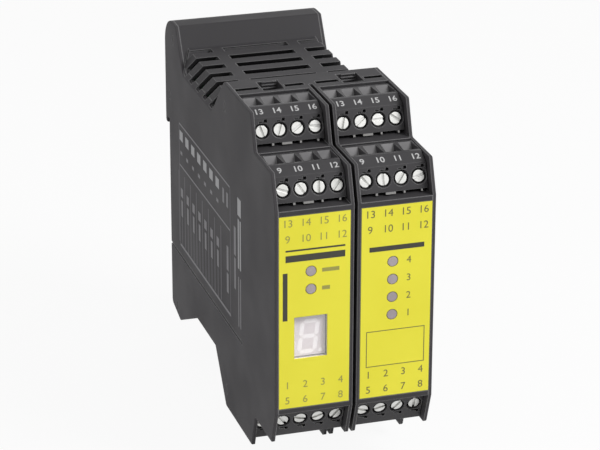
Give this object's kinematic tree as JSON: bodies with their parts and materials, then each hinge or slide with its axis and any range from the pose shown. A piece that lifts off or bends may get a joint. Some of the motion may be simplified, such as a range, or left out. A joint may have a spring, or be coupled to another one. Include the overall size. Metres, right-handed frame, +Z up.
{
  "type": "safety relay",
  "caption": "Rail-mounted safety relay: stepped twin-bay housing with yellow fronts, plug-in screw terminals, vents and a sprung rail latch.",
  "frame": {"origin": "middle of the rail seat, on the plane of the rail's front face", "axes": "+X to the right seen from the front, +Y back into the rail, +Z up"},
  "size_m": [0.045, 0.1145, 0.099],
  "materials": {
    "housing_plastic": "fine spark-eroded texture",
    "cover_plastic": "fine spark-eroded texture",
    "front_foil": "printed plate",
    "light_guide": "milky guide",
    "window_pane": "clear pane",
    "display_plastic": "sealed display, light grey face",
    "board_laminate": "solder resist",
    "terminal_plastic": "moulded",
    "screw_steel": "zinc plated",
    "cage_brass": "nickel plated",
    "pin_brass": "tin plated",
    "relay_case": "sealed case",
    "core_and_coil": "varnished",
    "can_sleeve": "shrunk sleeve",
    "chip_black": "moulded",
    "link_plastic": "moulded",
    "latch_plastic": "moulded",
    "spring_steel": "drawn wire"
  },
  "bodies": {
    "housing": {"board_link": "link_plastic", "capacitor_1": "can_sleeve", "capacitor_2": "can_sleeve", "contact_pins_left": "pin_brass", "contact_pins_right": "pin_brass", "controller_chip_1": "chip_black", "controller_chip_2": "chip_black", "digit_display": "display_plastic", "display_window": "window_pane", "front_board_left": "board_laminate", "front_board_right": "board_laminate", "front_plate_left": "front_foil", "front_plate_right": "front_foil", "housing_body": "housing_plastic", "latch_spring": "spring_steel", "main_board_left": "board_laminate", "main_board_right": "board_laminate", "output_relay_1": "relay_case", "output_relay_2": "relay_case", "output_relay_3": "relay_case", "output_relay_4": "relay_case", "pin_header_left_bottom_front": "terminal_plastic", "pin_header_left_bottom_rear": "terminal_plastic", "pin_header_left_top_front": "terminal_plastic", "pin_header_left_top_rear": "terminal_plastic", "pin_header_right_bottom_front": "terminal_plastic", "pin_header_right_bottom_rear": "terminal_plastic", "pin_header_right_top_front": "terminal_plastic", "pin_header_right_top_rear": "terminal_plastic", "power_converter": "core_and_coil", "side_cover_left": "cover_plastic", "side_cover_right": "cover_plastic", "status_lights_left": "light_guide", "status_lights_right": "light_guide"},
    "plug_left_top_front": {"terminal_plug_left_top_front": "terminal_plastic", "terminal_screws_left_top_front": "screw_steel", "clamp_cages_left_top_front": "cage_brass"},
    "plug_left_top_rear": {"terminal_plug_left_top_rear": "terminal_plastic", "terminal_screws_left_top_rear": "screw_steel", "clamp_cages_left_top_rear": "cage_brass"},
    "plug_left_bottom_front": {"terminal_plug_left_bottom_front": "terminal_plastic", "terminal_screws_left_bottom_front": "screw_steel", "clamp_cages_left_bottom_front": "cage_brass"},
    "plug_left_bottom_rear": {"terminal_plug_left_bottom_rear": "terminal_plastic", "terminal_screws_left_bottom_rear": "screw_steel", "clamp_cages_left_bottom_rear": "cage_brass"},
    "plug_right_top_front": {"terminal_plug_right_top_front": "terminal_plastic", "terminal_screws_right_top_front": "screw_steel", "clamp_cages_right_top_front": "cage_brass"},
    "plug_right_top_rear": {"terminal_plug_right_top_rear": "terminal_plastic", "terminal_screws_right_top_rear": "screw_steel", "clamp_cages_right_top_rear": "cage_brass"},
    "plug_right_bottom_front": {"terminal_plug_right_bottom_front": "terminal_plastic", "terminal_screws_right_bottom_front": "screw_steel", "clamp_cages_right_bottom_front": "cage_brass"},
    "plug_right_bottom_rear": {"terminal_plug_right_bottom_rear": "terminal_plastic", "terminal_screws_right_bottom_rear": "screw_steel", "clamp_cages_right_bottom_rear": "cage_brass"},
    "latch": {"rail_latch": "latch_plastic"}
  },
  "joints": [
    {"name": "plug_left_top_front_slide", "type": "slide", "parent": "housing", "child": "plug_left_top_front", "axis": [0, -1, 0], "range_m": [0, 0.02]},
    {"name": "plug_left_top_rear_slide", "type": "slide", "parent": "housing", "child": "plug_left_top_rear", "axis": [0, -1, 0], "range_m": [0, 0.02]},
    {"name": "plug_left_bottom_front_slide", "type": "slide", "parent": "housing", "child": "plug_left_bottom_front", "axis": [0, -1, 0], "range_m": [0, 0.02]},
    {"name": "plug_left_bottom_rear_slide", "type": "slide", "parent": "housing", "child": "plug_left_bottom_rear", "axis": [0, -1, 0], "range_m": [0, 0.02]},
    {"name": "plug_right_top_front_slide", "type": "slide", "parent": "housing", "child": "plug_right_top_front", "axis": [0, -1, 0], "range_m": [0, 0.02]},
    {"name": "plug_right_top_rear_slide", "type": "slide", "parent": "housing", "child": "plug_right_top_rear", "axis": [0, -1, 0], "range_m": [0, 0.02]},
    {"name": "plug_right_bottom_front_slide", "type": "slide", "parent": "housing", "child": "plug_right_bottom_front", "axis": [0, -1, 0], "range_m": [0, 0.02]},
    {"name": "plug_right_bottom_rear_slide", "type": "slide", "parent": "housing", "child": "plug_right_bottom_rear", "axis": [0, -1, 0], "range_m": [0, 0.02]},
    {"name": "latch_slide", "type": "slide", "parent": "housing", "child": "latch", "axis": [0, 0, -1], "range_m": [0, 0.0032], "stiffness_N_per_m": 300, "springref_m": -0.004, "deforming": ["latch_spring"]}
  ]
}
